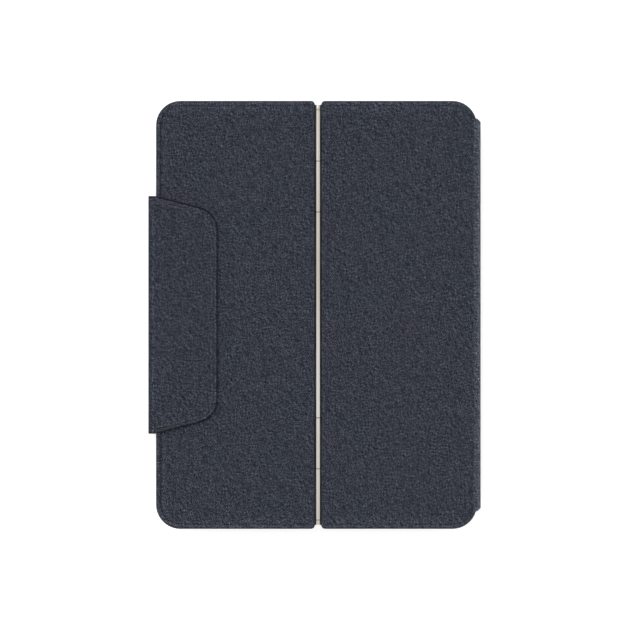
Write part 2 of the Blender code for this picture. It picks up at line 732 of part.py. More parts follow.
SCREW_X = 86.4
SCREW_FROM_END = 0.95
SCREWS = [(SCREW_X, sign * (KEYBOARD_HALF - SCREW_FROM_END)) for sign in (-1, 1)]
SCREW_R = 0.5
SCREW_CLEAR = 0.15
FEET = {"keyboard_front_foot": 12.0, "keyboard_rear_foot": 88.4}
FOOT_HALF = (2.5, 95.0)
FOOT_SUNK = 0.35
FOOT_PROUD = 0.15
SWITCH_X = (70.0, 76.0)
SWITCH_TRAVEL = 2.5
SWITCH_Z = (11.7, 13.0)
SWITCH_PROUD = 0.5
PORT_X = (66.0, 74.4)
PORT_Z = (11.3, 13.7)
PORT_WALL = 0.3
PORT_CORNER_R = 1.1
PORT_DEPTH = (2.6, 0.2)  # of its inner and its outer end, behind the keyboard's end face
KEYBOARD_MAGNET_X = 77.0
MEMBRANE_INSET = 3.4
BATTERY_X = (24.0, 60.0)
BATTERY_Y = (-70.0, 20.0)
TOP_EDGE_R = 0.5
BOTTOM_EDGE_R = 0.4


def screw_holes(bm):
    for place in SCREWS:
        disc_into(bm, place, SCREW_R + SCREW_CLEAR, (MEMBRANE[0], FLOOR[1] + 1), SMALL_HOLE_SIDES)


def keyboard():
    cells = key_cells()
    rim_z = FLOOR[0] - GAP

    def tub(bm):
        inner = rounded_polygon(KEYBOARD, CASE_WALL)
        rings = [level(inner, DECK[1]), level(inner, rim_z)]
        loft_into(bm, rings + edge_rounding(KEYBOARD, DECK[0], rim_z, TOP_EDGE_R, steps=2))

    def key_holes(bm):
        grow, z = WELL_CLEARANCE, (DECK[0] - 1, DECK[1] + 0.5)
        for _node, x, y in cells:
            box_into(bm, (x[0] - grow, x[1] + grow), (y[0] - grow, y[1] + grow), z)

    def wall_holes(bm):
        x = (SWITCH_X[0] - GAP, SWITCH_X[1] + SWITCH_TRAVEL + GAP)
        y = (-KEYBOARD_HALF - 1, -KEYBOARD_HALF + CASE_WALL + 1)
        box_into(bm, x, y, (SWITCH_Z[0] - GAP, SWITCH_Z[1] + GAP))
        y = (KEYBOARD_HALF - CASE_WALL - 1, KEYBOARD_HALF + 1)
        box_into(bm, (PORT_X[0] - GAP, PORT_X[1] + GAP), y, (PORT_Z[0] - GAP, rim_z + 1))

    top = solid("keyboard_top_case", "keyboard_case", tub)
    cut(top, key_holes)
    cut(top, wall_holes)
    cut(top, screw_holes)

    def floor(bm):
        loft_into(bm, edge_rounding(KEYBOARD, FLOOR[1], FLOOR[0], BOTTOM_EDGE_R, steps=2))

    def foot_recesses(bm):
        wide, long = FOOT_HALF[0] + GAP, FOOT_HALF[1] + GAP
        for x in FEET.values():
            box_into(bm, (x - wide, x + wide), (-long, long), (FLOOR[1] - FOOT_SUNK - GAP, FLOOR[1] + 1))

    bottom = solid("keyboard_bottom_case", "keyboard_case", floor)
    cut(bottom, foot_recesses)
    cut(bottom, screw_holes)
    for number, place in enumerate(SCREWS, 1):

        def screw(bm):
            disc_into(bm, place, SCREW_R, (MEMBRANE[0] + GAP, FLOOR[1] - 0.1), SMALL_HOLE_SIDES)

        solid(f"keyboard_screw_{number}", "steel", screw)
    for name, x in FEET.items():
        span = (x - FOOT_HALF[0], x + FOOT_HALF[0])
        z = (FLOOR[1] - FOOT_SUNK, FLOOR[1] + FOOT_PROUD)
        solid(name, "rubber", lambda bm: box_into(bm, span, (-FOOT_HALF[1], FOOT_HALF[1]), z))
    plate("key_switch_membrane", KEYBOARD, MEMBRANE, "circuit", MEMBRANE_INSET)
    solid("keyboard_battery", "battery", lambda bm: box_into(bm, BATTERY_X, BATTERY_Y, INNARDS))
    magnet_array("keyboard_magnet_array", (KEYBOARD_MAGNET_X, PANEL_MAGNETS[1]), INNARDS)

    def port(bm):
        outline = rectangle(*PORT_X, *PORT_Z, (PORT_CORNER_R,) * 4)
        outer, inner = rounded_polygon(outline, 0.0, 4), rounded_polygon(outline, PORT_WALL, 4)
        ends = [KEYBOARD_HALF - depth for depth in PORT_DEPTH]
        profile = ((inner, ends[0]), (outer, ends[0]), (outer, ends[1]), (inner, ends[1]))
        loft_into(bm, [across_y(ring, y) for ring, y in profile], closed=True)

    solid("charging_port", "steel", port)
    y_switch = (-KEYBOARD_HALF - SWITCH_PROUD, -KEYBOARD_HALF + CASE_WALL - GAP)
    solid("keyboard_power_switch", "rubber", lambda bm: box_into(bm, SWITCH_X, y_switch, SWITCH_Z))
    key_groups(cells)


clear_scene()
rear_shell()
spine()
clasp()
cover()
keyboard()
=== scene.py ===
"""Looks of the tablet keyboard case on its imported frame: cloth skins, linings, steel hinge and keycaps.

Lengths are in millimetres and are turned into metres where meshes are made. Where a length sets the
scale of a texture, it is in metres, and a texture's scale is in cells per metre.
"""

import json
import math

import bmesh
import bpy
from mathutils import Matrix, Vector


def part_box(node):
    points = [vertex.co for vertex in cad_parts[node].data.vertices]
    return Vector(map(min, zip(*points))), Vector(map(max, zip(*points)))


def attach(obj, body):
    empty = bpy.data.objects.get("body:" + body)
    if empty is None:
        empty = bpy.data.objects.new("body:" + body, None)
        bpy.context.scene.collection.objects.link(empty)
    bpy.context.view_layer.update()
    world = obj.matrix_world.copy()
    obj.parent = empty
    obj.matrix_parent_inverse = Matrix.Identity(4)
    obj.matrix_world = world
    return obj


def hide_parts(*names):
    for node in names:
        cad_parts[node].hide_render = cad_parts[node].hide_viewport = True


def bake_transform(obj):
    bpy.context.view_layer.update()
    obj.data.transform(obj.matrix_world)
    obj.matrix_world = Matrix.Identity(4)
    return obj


MM = 0.001

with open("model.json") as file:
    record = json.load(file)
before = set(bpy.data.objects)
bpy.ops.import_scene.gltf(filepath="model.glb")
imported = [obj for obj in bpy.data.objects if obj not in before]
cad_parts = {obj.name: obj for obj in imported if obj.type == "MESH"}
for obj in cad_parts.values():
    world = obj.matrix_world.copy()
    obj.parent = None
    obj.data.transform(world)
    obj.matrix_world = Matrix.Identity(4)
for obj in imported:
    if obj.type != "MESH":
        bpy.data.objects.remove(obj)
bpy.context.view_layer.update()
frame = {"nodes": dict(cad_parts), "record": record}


# ---- measures taken from the frame --------------------------------------------------------------
def box(node):
    """Low and high corner of a CAD node in millimetres."""
    low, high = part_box(node)
    return Vector(low) / MM, Vector(high) / MM


FREE = box("free_panel_fabric")
HINGED = box("hinge_panel_fabric")
SHELL = box("shell_back_fabric")
FLAP = box("clasp_flap_fabric")
LOWER_FOLD = box("spine_lower_fold_fabric")
UPPER_FOLD = box("spine_upper_fold_fabric")
CLASP_UPPER = box("clasp_upper_fold_fabric")
SPINE = box("spine_fabric")
TUBE = box("hinge_centre_tube")
RING = box("camera_trim_ring")
KEYBOARD = box("keyboard_top_case")

CASE_TOP = HINGED[1].z
OUTER_X = SPINE[1].x
CLASP_X = CLASP_UPPER[0].x
CASE_CORNER_R = 14.5
SLOT_CORNER_R = 2.3
PANEL_EDGE_R = 0.9
PRESSED_INSET = 3.0  # from a panel's edge to the pressed line
WELD_DROP = 0.10  # how far the welded rim lies below a panel's middle
GROOVE_DROP = 0.26  # and the pressed line
SHELL_EDGE_R = 0.85
SHELL_RIM_W = 0.9  # from the shell's edge to its lining
CAMERA_HOLE_R = 9.5
FLAP_CORNER_R = 14.0
FLAP_SHOULDER = 2.7  # from the flap's root to where its ends begin to slope
FLAP_SLOPE = 9.4  # how much shorter, at each end, the flap is at its free edge
FLAP_OVERHANG = 0.35  # of the flap's cloth past its stiffener
FLAP_RIM_H = 1.62  # of the flap's welded rim, which is above the stiffener
FOLD_RADIUS = 1.1
FOLD_LINING = 1.95  # from a fold's outside to its lining
CLOTH = 0.7
FOLD_PAINTED_HIGHLIGHT = -2.4  # painted highlight: the value that makes the cloth drawn over the spine's folds paler and less blue
TUBE_R = (TUBE[1].z - TUBE[0].z) / 2
TUBE_AXIS = (2.0, (TUBE[0].z + TUBE[1].z) / 2)
CAMERA = ((RING[0].x + RING[1].x) / 2, (RING[0].y + RING[1].y) / 2)


# ---- mesh building ------------------------------------------------------------------------------
class Skin:
    """A mesh in the making: points in millimetres, each with cloth coordinates and a value for pressed lines
    and painted light and shade.
    """

    def __init__(self):
        self.bm = bmesh.new()
        self.uv_layer = self.bm.loops.layers.uv.new("cloth")
        self.press_layer = self.bm.verts.layers.float.new("pressed_and_painted_light")
        self.cloth = {}

    def ring(self, points, cloth=None, pressed_and_painted_light=0.0):
        """Adds points as vertices. cloth gives each point's place on the flat cloth."""
        verts = []
        for i, point in enumerate(points):
            vert = self.bm.verts.new(Vector(point) * MM)
            place = cloth[i] if cloth else (point[0], point[1])
            self.cloth[vert] = (place[0] * MM, place[1] * MM)
            vert[self.press_layer] = pressed_and_painted_light[i] if isinstance(pressed_and_painted_light, list) else pressed_and_painted_light
            verts.append(vert)
        return verts

    def bridge(self, low, high, material=0):
        """Joins two closed rings. material is one index, or one for each side of the rings."""
        for i in range(len(low)):
            j = (i + 1) % len(low)
            face = self.bm.faces.new((low[i], low[j], high[j], high[i]))
            face.material_index = material[i] if isinstance(material, list) else material

    def cap(self, ring, material=0):
        face = self.bm.faces.new(ring)
        face.material_index = material

    def make(self, name, materials, smooth_below=38.0):
        """The finished object. Edges that turn by less than smooth_below degrees are shaded smooth."""
        bmesh.ops.recalc_face_normals(self.bm, faces=self.bm.faces)
        for face in self.bm.faces:
            for loop in face.loops:
                loop[self.uv_layer].uv = self.cloth.get(loop.vert, (0.0, 0.0))
        mesh = bpy.data.meshes.new(name)
        self.bm.to_mesh(mesh)
        self.bm.free()
        for material in materials:
            mesh.materials.append(material)
        mesh.shade_smooth()
        mesh.set_sharp_from_angle(angle=math.radians(smooth_below))
        obj = bpy.data.objects.new(name, mesh)
        bpy.context.scene.collection.objects.link(obj)
        return obj


def smooth_step(value, low, high):
    """0 below low and 1 above high, with an eased rise between them."""
    share = min(max((value - low) / (high - low), 0.0), 1.0)
    return share * share * (3 - 2 * share)


def rounded_outline(corners, insets, steps=10, edge_step=7.0):
    """Points round an anticlockwise polygon of (x, y, radius), each edge moved in by its own inset.

    Edge i runs from corner i to the next. Every outline made from the same corners has the same
    number of points, so outlines can be bridged. Edges have a point about every edge_step, and two
    more near each end, where the shading changes fastest.
    """
    least_r, sharp_r, fewest_pieces = 0.25, 0.02, 3
    near_ends = [0.02, 0.05, 0.95, 0.98]
    count = len(corners)
    flat = [Vector(corner[:2]) for corner in corners]
    normals, directions = [], []
    for i in range(count):
        direction = (flat[(i + 1) % count] - flat[i]).normalized()
        directions.append(direction)
        normals.append(Vector((-direction.y, direction.x)))
    arcs = []
    for i, corner in enumerate(corners):
        before, after = directions[i - 1], directions[i]
        low, high = normals[i - 1] * insets[i - 1], normals[i] * insets[i]
        cross = before.x * after.y - before.y * after.x
        offset = high - low
        along = (offset.x * after.y - offset.y * after.x) / cross
        tip = flat[i] + low + before * along
        turn = math.acos(max(-1.0, min(1.0, before.dot(after))))
        if corner[2] > 0:
            radius = max(corner[2] - max(insets[i - 1], insets[i]), least_r)
        else:
            radius = sharp_r
        run = radius * math.tan(turn / 2)
        start = tip - before * run
        centre = start + normals[i - 1] * radius
        spoke = start - centre
        arc = []
        for step in range(steps + 1):
            arc.append(centre + Matrix.Rotation(turn * step / steps, 2) @ spoke)
        arcs.append(arc)
    points = []
    for i in range(count):
        points += arcs[i]
        start, end = arcs[i][-1], arcs[(i + 1) % count][0]
        base = (flat[(i + 1) % count] - flat[i]).length
        pieces = max(int(base / edge_step), fewest_pieces)
        shares = sorted(near_ends + [piece / pieces for piece in range(1, pieces)])
        points += [start.lerp(end, share) for share in shares]
    return points


def level(outline, z):
    """The outline's points at height z."""
    return [(point[0], point[1], z) for point in outline]


def flat_skin(name, corners, profile, materials, plain_edges=(), soft_edges=()):
    """A closed skin over a flat piece.

    profile runs from the middle of its underside, out and up, to the middle of its top: each entry
    is (inset of the welded edges, inset of the plain edges, z, value for pressed lines and painted light,
    material of the band below).
    plain_edges are the numbers of the edges with no welded rim. soft_edges are (x, reach): within
    reach of that x, the pressed line on the top dies out.
    """
    rolled_w, top_band = 1.5, 1.0  # only entries inside the rolled edge, on the top, die out
    gone_within = 1.0
    skin = Skin()
    rings = []
    top = profile[-1][2]
    for welded_inset, plain_inset, z, pressed_and_painted_light, _band in profile:
        insets = [plain_inset if i in plain_edges else welded_inset for i in range(len(corners))]
        outline = rounded_outline(corners, insets)
        fading = soft_edges if welded_inset > rolled_w and z > top - top_band else ()
        heights, press_and_light, cloth = [], [], []
        for point in outline:
            fade = 1.0
            for edge_x, reach in fading:
                fade *= smooth_step(abs(point[0] - edge_x), gone_within, reach)
            heights.append(top + (z - top) * fade)
            press_and_light.append(pressed_near(corners, point, pressed_and_painted_light) * fade)
            cloth.append((point[0], point[1]))
        if welded_inset <= 0 and z < top:
            cloth = [outward(corners, point, top - z) for point in outline]
        points = [(point[0], point[1], height) for point, height in zip(outline, heights)]
        rings.append(skin.ring(points, cloth, press_and_light))
    bands = [entry[4] for entry in profile]
    for low, high, material in zip(rings, rings[1:], bands[1:]):
        skin.bridge(low, high, material)
    skin.cap(rings[0], bands[0])
    skin.cap(rings[-1], bands[-1])
    return skin.make(name, materials)


def pressed_near(corners, point, pressed_and_painted_light):
    """Value for pressed lines and painted light at a point: one number, or a pair for the ends, in Y, and the
    sides, in X, which are painted lighter or darker by how the light falls on them.
    """
    if not isinstance(pressed_and_painted_light, tuple):
        return pressed_and_painted_light
    least = 0.01
    to_end = min(abs(point[1] - corner[1]) for corner in corners)
    to_side = min(abs(point[0] - corner[0]) for corner in corners)
    share = to_side / max(to_side + to_end, least)
    return pressed_and_painted_light[0] * share + pressed_and_painted_light[1] * (1 - share)


def outward(corners, point, distance):
    """The place on the flat cloth of a point that hangs down the side by distance."""
    centre_x = sum(corner[0] for corner in corners) / len(corners)
    centre_y = sum(corner[1] for corner in corners) / len(corners)
    reach_x = max(corner[0] for corner in corners) - centre_x
    reach_y = max(corner[1] for corner in corners) - centre_y
    dx, dy = (point[0] - centre_x) / reach_x, (point[1] - centre_y) / reach_y
    if abs(dx) > abs(dy):
        return (point[0] + math.copysign(distance, dx), point[1])
    return (point[0], point[1] + math.copysign(distance, dy))


def bore_through(obj, centre, radius):
    """Bores a round upright hole through the shell's cloth or lining."""
    sides, low, high = 48, -2.0, 6.0
    bm = bmesh.new()
    radii = {"radius1": radius * MM, "radius2": radius * MM}
    bmesh.ops.create_cone(bm, cap_ends=True, segments=sides, depth=(high - low) * MM, **radii)
    bmesh.ops.translate(bm, verts=bm.verts, vec=Vector((centre[0], centre[1], (low + high) / 2)) * MM)
    mesh = bpy.data.meshes.new("borer")
    bm.to_mesh(mesh)
    bm.free()
    borer = bpy.data.objects.new("borer", mesh)
    bpy.context.scene.collection.objects.link(borer)
    modifier = obj.modifiers.new("bore", "BOOLEAN")
    modifier.operation = "DIFFERENCE"
    modifier.object = borer
    bpy.context.view_layer.update()
    evaluated = obj.evaluated_get(bpy.context.evaluated_depsgraph_get())
    bored = bpy.data.meshes.new_from_object(evaluated)
    obj.modifiers.clear()
    obj.data = bored
    bpy.data.objects.remove(borer)


# ---- materials ----------------------------------------------------------------------------------
class Nodes:
    """Short names for building a material's node tree."""

    def __init__(self, name):
        self.material = bpy.data.materials.new(name)
        self.material.use_nodes = True
        self.tree = self.material.node_tree
        self.shader = self.tree.nodes["Principled BSDF"]

    def add(self, kind, **settings):
        node = self.tree.nodes.new(kind)
        for key, value in settings.items():
            setattr(node, key, value)
        return node

    def feed(self, socket, value):
        """Links an output to the socket, or sets the socket to a plain value."""
        if isinstance(value, bpy.types.NodeSocket):
            self.tree.links.new(value, socket)
        else:
            socket.default_value = value

    def math(self, operation, a, b=0.0, clamp=False):
        node = self.add("ShaderNodeMath", operation=operation, use_clamp=clamp)
        self.feed(node.inputs[0], a)
        self.feed(node.inputs[1], b)
        return node.outputs[0]

    def mix(self, share, a, b):
        """The colour that goes from a to b as share goes from 0 to 1."""
        node = self.add("ShaderNodeMix", data_type="RGBA")
        self.feed(node.inputs[0], share)
        self.feed(node.inputs[6], a)
        self.feed(node.inputs[7], b)
        return node.outputs[2]

    def ramp(self, value, low, high):
        """value stretched so that low becomes 0 and high becomes 1."""
        node = self.add("ShaderNodeMapRange")
        self.feed(node.inputs["Value"], value)
        node.inputs["From Min"].default_value = low
        node.inputs["From Max"].default_value = high
        return node.outputs[0]

    def tinted(self, colour, by):
        """colour multiplied by another colour or vector."""
        node = self.add("ShaderNodeMix", data_type="RGBA", blend_type="MULTIPLY")
        node.inputs[0].default_value = 1.0
        self.feed(node.inputs[6], colour)
        self.feed(node.inputs[7], by)
        return node.outputs[2]

    def scaled(self, value, factor, plus=0.0):
        """value times factor, plus a constant."""
        return self.math("ADD", self.math("MULTIPLY", value, factor), plus)

    def split(self, vector):
        """The three components of a vector."""
        node = self.add("ShaderNodeSeparateXYZ")
        self.feed(node.inputs[0], vector)
        return node.outputs

    def combine(self, x, y, z=0.0):
        node = self.add("ShaderNodeCombineXYZ")
        for socket, value in zip(node.inputs, (x, y, z)):
            self.feed(socket, value)
        return node.outputs[0]

    def noise(self, vector, scale, detail=2.0, roughness=0.5):
        node = self.add("ShaderNodeTexNoise")
        self.feed(node.inputs["Vector"], vector)
        node.inputs["Scale"].default_value = scale
        node.inputs["Detail"].default_value = detail
        node.inputs["Roughness"].default_value = roughness
        return node.outputs["Fac"]

    def attribute(self, name):
        return self.add("ShaderNodeAttribute", attribute_name=name).outputs["Fac"]

    def place(self):
        return self.add("ShaderNodeTexCoord").outputs["Object"]

    def bump(self, height, distance, strength=1.0, under=None):
        node = self.add("ShaderNodeBump")
        node.inputs["Strength"].default_value = strength
        node.inputs["Distance"].default_value = distance
        self.feed(node.inputs["Height"], height)
        if under is not None:
            self.feed(node.inputs["Normal"], under)
        return node.outputs[0]

    def finish(self, colour, roughness, metallic=0.0, normal=None, **sockets):
        self.feed(self.shader.inputs["Base Color"], colour)
        self.feed(self.shader.inputs["Roughness"], roughness)
        self.shader.inputs["Metallic"].default_value = metallic
        for key, value in sockets.items():
            self.shader.inputs[key.replace("_", " ")].default_value = value
        if normal is not None:
            self.feed(self.shader.inputs["Normal"], normal)
        return self.material


YARNS = (0.37 * MM, 0.47 * MM)  # pitch of the warp and of the weft
WARP_COLOURS = ((0.0065, 0.0095, 0.020, 1), (0.118, 0.143, 0.197, 1))  # dark and pale fibres
WEFT_COLOURS = ((0.0115, 0.0155, 0.028, 1), (0.192, 0.223, 0.279, 1))
BROWNER = (1.13, 1.00, 1.01, 1)
# tint of the painted highlights on folds and rims
PAINTED_HIGHLIGHT_TINT = (1.06, 1.02, 0.92, 1)


def melange_twill():
    """Two by two twill of melange yarns, blue black with paler fibres.

    The vertex attribute for pressed lines and painted light is 1 in a pressed line, where the cloth is
    flatter and darker, partly its own tone and partly painted shade. Higher values paint shade along edges,
    and values below 0 paint a highlight, paler and less blue, on folds and rims.
    """
    n = Nodes("melange_twill_cloth")
    across = n.split(n.add("ShaderNodeUVMap", uv_map="cloth").outputs[0])
    u, v = (n.math("DIVIDE", across[i], pitch) for i, pitch in enumerate(YARNS))
    column, row = n.math("FLOOR", u), n.math("FLOOR", v)
    across_u, across_v = n.math("FRACT", u), n.math("FRACT", v)
    repeat, float_length = 4.0, 2.0
    step = n.math("FLOORED_MODULO", n.math("SUBTRACT", column, row), repeat)
    warp_up = n.math("LESS_THAN", step, float_length - 0.5)
    height = weave_height(n, warp_up, step, across_u, across_v, float_length)

    # melange: pale fibres come and go along each yarn, and in streaks along the twill's ribs
    fibre_length, fibre_scale = 0.16, 0.73
    warp_fibre = n.noise(n.combine(column, n.math("MULTIPLY", v, fibre_length), 3.0), fibre_scale)
    weft_fibre = n.noise(n.combine(n.math("MULTIPLY", u, fibre_length), row, 11.0), fibre_scale)
    across_rib = n.math("MULTIPLY", n.math("SUBTRACT", u, v), 0.95)
    along_rib = n.math("MULTIPLY", n.math("ADD", u, v), 0.21)
    streak = n.ramp(n.noise(n.combine(across_rib, along_rib, 5.0), 1.0, 1.0), 0.41, 0.60)
    warp_pale = n.math("MULTIPLY", n.ramp(warp_fibre, 0.36, 0.66), streak)
    weft_pale = n.math("MULTIPLY", n.ramp(weft_fibre, 0.30, 0.62), streak)
    yarn = n.mix(warp_up, n.mix(weft_pale, *WEFT_COLOURS), n.mix(warp_pale, *WARP_COLOURS))

    # slow drift of tone, browner in places, and the less blue tint of painted highlights, where the value for
    # pressed lines and painted light is below 0
    metres = n.combine(across[0], across[1])
    drift = n.noise(metres, 26.0, 3.0, 0.6)
    yarn = n.mix(n.ramp(drift, 0.30, 0.75), yarn, n.tinted(yarn, BROWNER))
    pressed_and_painted_light = n.attribute("pressed_and_painted_light")
    painted_highlight = n.math("MULTIPLY", pressed_and_painted_light, -0.4, clamp=True)
    yarn = n.mix(painted_highlight, yarn, n.tinted(yarn, PAINTED_HIGHLIGHT_TINT))

    # shade: specks and soft clouds of tone, painted shade in the hollows between the yarns, and the pressed
    # lines, partly their own darker tone and partly painted shade, with painted shade along edges and painted
    # highlights
    speck = n.scaled(n.noise(metres, 2300.0, 2.0, 0.6), 1.7, 0.02)
    cloud = n.scaled(n.noise(metres, 150.0, 2.0, 0.6), 0.45, 0.755)
    hollow = n.scaled(height, 0.45, 0.62)
    # darker above 0: pressed lines partly their own tone and partly painted shade, and painted shade along
    # edges; paler below 0: painted highlight
    line = n.scaled(pressed_and_painted_light, -0.5, 1.0)
    shade = n.math("MULTIPLY", n.math("MULTIPLY", speck, cloud), n.math("MULTIPLY", hollow, line))
    colour = n.tinted(yarn, n.combine(shade, shade, shade))

    flatness = n.math("MULTIPLY", pressed_and_painted_light, 0.5, clamp=True)
    flatter = n.math("MULTIPLY", height, n.math("SUBTRACT", 1.0, flatness))
    fuzz = n.noise(metres, 5200.0, 1.0)
    relief = n.math("ADD", flatter, n.math("MULTIPLY", fuzz, 0.35))
    normal = n.bump(relief, 0.13 * MM, 0.85)
    roughness = n.scaled(fuzz, 0.2, 0.74)
    sheen = {"Sheen_Weight": 0.05, "Sheen_Roughness": 0.5}
    return n.finish(colour, roughness, normal=normal, Specular_IOR_Level=0.15, **sheen)


def weave_height(n, warp_up, step, across_u, across_v, float_length):
    """Height of whichever yarn lies on top, from 0 to 1."""

    def crown(value):
        """0 at both edges of a yarn and 1 on its crest."""
        centred = n.scaled(value, 2.0, -1.0)
        return n.math("SUBTRACT", 1.0, n.math("MULTIPLY", centred, centred))

    def rise(across, steps_in, along):
        """A yarn is round across, and dips to two fifths where its float ends."""
        share = n.math("DIVIDE", n.math("ADD", steps_in, along), float_length)
        return n.math("MULTIPLY", crown(across), n.scaled(crown(share), 0.6, 0.4))

    node = n.add("ShaderNodeMix", data_type="FLOAT")
    n.feed(node.inputs[0], warp_up)
    n.feed(node.inputs[2], rise(across_v, n.math("SUBTRACT", step, 2.0), across_u))
    n.feed(node.inputs[3], rise(across_u, n.math("SUBTRACT", 1.0, step), across_v))
    return node.outputs[0]


def microfibre():
    """Short brushed nap that leans one way and then another."""
    n = Nodes("microfibre_lining")
    place = n.place()
    nap = n.noise(place, 6500.0)
    brushed = n.ramp(n.noise(place, 38.0, 3.0, 0.65), 0.2, 0.8)
    tone = n.math("ADD", n.math("MULTIPLY", nap, 0.65), n.math("MULTIPLY", brushed, 0.35))
    colour = n.mix(tone, (0.040, 0.042, 0.048, 1), (0.078, 0.081, 0.090, 1))
    # the pressed line darker: partly the pressed cloth's own tone and partly painted shade in the groove
    in_line = n.math("MULTIPLY", n.attribute("pressed_and_painted_light"), 0.6)
    colour = n.mix(in_line, colour, (0.02, 0.021, 0.025, 1))
    normal = n.bump(nap, 0.12 * MM, 0.7)
    sheen = {"Sheen_Weight": 0.45, "Sheen_Roughness": 0.35}
    return n.finish(colour, 0.92, normal=normal, Specular_IOR_Level=0.15, **sheen)


def moulded(name, dark, light, roughness, grain, depth):
    """Moulded plastic or rubber: a grain, in cells per metre and millimetres deep, and handling marks."""
    n = Nodes(name)
    place = n.place()
    fine = n.noise(place, grain, 2.0, 0.6)
    marks = n.noise(place, 90.0, 4.0, 0.7)
    colour = n.mix(n.ramp(marks, 0.3, 0.75), (*dark, 1), (*light, 1))
    rough = n.scaled(marks, 0.16, roughness - 0.08)
    return n.finish(colour, rough, normal=n.bump(fine, depth * MM, 0.6))


def polished_steel():
    """Turned and polished steel: faint rings round the axis, hairline scratches along it."""
    n = Nodes("polished_hinge_steel")
    x, y, z = n.split(n.place())
    turned = n.noise(n.combine(0.0, n.math("MULTIPLY", y, 3800.0)), 1.0)
    round_x, round_z = (n.math("MULTIPLY", value, 2600.0) for value in (x, z))
    hairline = n.noise(n.combine(round_x, n.math("MULTIPLY", y, 30.0), round_z), 1.0, 3.0)
    smear = n.noise(n.combine(0.0, n.math("MULTIPLY", y, 9.0)), 1.0)
    colour = n.mix(n.ramp(smear, 0.35, 0.65), (0.62, 0.565, 0.505, 1), (0.78, 0.765, 0.74, 1))
    relief = n.math("ADD", n.math("MULTIPLY", turned, 0.5), hairline)
    rough = n.scaled(hairline, 0.16, 0.20)
    return n.finish(colour, rough, metallic=1.0, normal=n.bump(relief, 0.006 * MM, 0.5))


def plated():
    """Nickel plating, speckled."""
    n = Nodes("nickel_plated_magnet")
    speckle = n.noise(n.place(), 900.0, 3.0)
    colour = n.mix(speckle, (0.50, 0.50, 0.50, 1), (0.68, 0.67, 0.65, 1))
    return n.finish(colour, n.scaled(speckle, 0.2, 0.2), metallic=1.0)


def laminate():
    """Glass fibre board: crossed rovings under resin."""
    n = Nodes("glass_fibre_board")
    across = n.split(n.place())
    waves = [n.math("SINE", n.math("MULTIPLY", across[i], 6200.0)) for i in (0, 1)]
    roving = n.math("MULTIPLY", *waves)
    colour = n.mix(n.ramp(roving, -1.0, 1.0), (0.020, 0.022, 0.020, 1), (0.050, 0.052, 0.046, 1))
    return n.finish(colour, 0.42, normal=n.bump(roving, 0.05 * MM, 0.4))


def printed_film():
    """Green film with silver tracks."""
    n = Nodes("key_switch_film")
    tracks = n.add("ShaderNodeTexWave", wave_type="BANDS")
    n.feed(tracks.inputs["Vector"], n.place())
    tracks.inputs["Scale"].default_value = 300.0
    line = n.ramp(tracks.outputs["Fac"], 0.80, 0.86)
    return n.finish(n.mix(line, (0.03, 0.10, 0.07, 1), (0.55, 0.56, 0.55, 1)), 0.35)


def foil():
    """Crinkled foil round the battery."""
    n = Nodes("battery_foil")
    crinkle = n.noise(n.place(), 260.0, 4.0, 0.6)
    colour = n.mix(crinkle, (0.30, 0.31, 0.32, 1), (0.48, 0.49, 0.50, 1))
    return n.finish(colour, 0.32, metallic=0.7, normal=n.bump(crinkle, 0.2 * MM, 0.5))


def legend_print():
    """Pale ink, a little worn."""
    n = Nodes("legend_ink")
    wear = n.noise(n.place(), 3000.0)
    return n.finish(n.mix(wear, (0.42, 0.43, 0.45, 1), (0.55, 0.56, 0.58, 1)), 0.6)


CLOTH_MATERIAL = melange_twill()
LINING = microfibre()
# name, darkest and lightest colour, roughness, grain
TRAY = moulded("flexible_tray_polymer", (0.022, 0.023, 0.027), (0.036, 0.038, 0.043), 0.5, 4200.0, 0.03)
CASE = moulded("keyboard_case_plastic", (0.036, 0.038, 0.045), (0.050, 0.053, 0.061), 0.52, 6000.0, 0.035)
KEYCAP = moulded("keycap_plastic", (0.020, 0.021, 0.026), (0.030, 0.032, 0.037), 0.46, 7000.0, 0.02)
RUBBER = moulded("rubber", (0.010, 0.010, 0.011), (0.022, 0.022, 0.024), 0.82, 3000.0, 0.05)
# painted shade: this near black steel stands for the shade seen in the slot's gaps and in the hinge's seams;
# it is given to the leaves and to the tubes' eased ends and bores
SHADE_DARK_STEEL = moulded("steel_painted_dark_as_shade", (0.018, 0.018, 0.019), (0.032, 0.031, 0.030), 0.55, 2500.0, 0.02)
STEEL = polished_steel()
MAGNET = plated()
BOARD = laminate()
INK = legend_print()

SLOT_MATERIALS = {
    "glass_fibre_board": BOARD,
    "tray_polymer": TRAY,
    "hinge_steel": STEEL,
    "magnet": MAGNET,
    "keyboard_shell": CASE,
    "keycap": KEYCAP,
    "rubber_foot": RUBBER,
    "port_steel": STEEL,
    "circuit_film": printed_film(),
    "battery_foil": foil(),
}


def dress_cad_nodes():
    """Gives every CAD piece whose shape is kept its material."""
    for part in frame["record"]["subparts"]:
        material = SLOT_MATERIALS.get(part["material_slot"])
        if material:
            mesh = frame["nodes"][part["node"]].data
            mesh.materials.clear()
            mesh.materials.append(material)


# ---- cover panels, shell and flap ---------------------------------------------------------------
def settle(obj, body, slot, *nodes):
    """Fixes a rigid piece to its body, in place of the CAD nodes."""
    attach(obj, body)
    if nodes:
        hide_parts(*nodes)


def roll(side_z, top_z, radius, steps=4):
    """(inset, z) pairs round the edge between a side and a top."""
    pairs = []
    for step in range(steps + 1):
        angle = math.pi / 2 * step / steps
        pairs.append((radius * (1 - math.cos(angle)), side_z + (top_z - side_z) * math.sin(angle)))
    return pairs


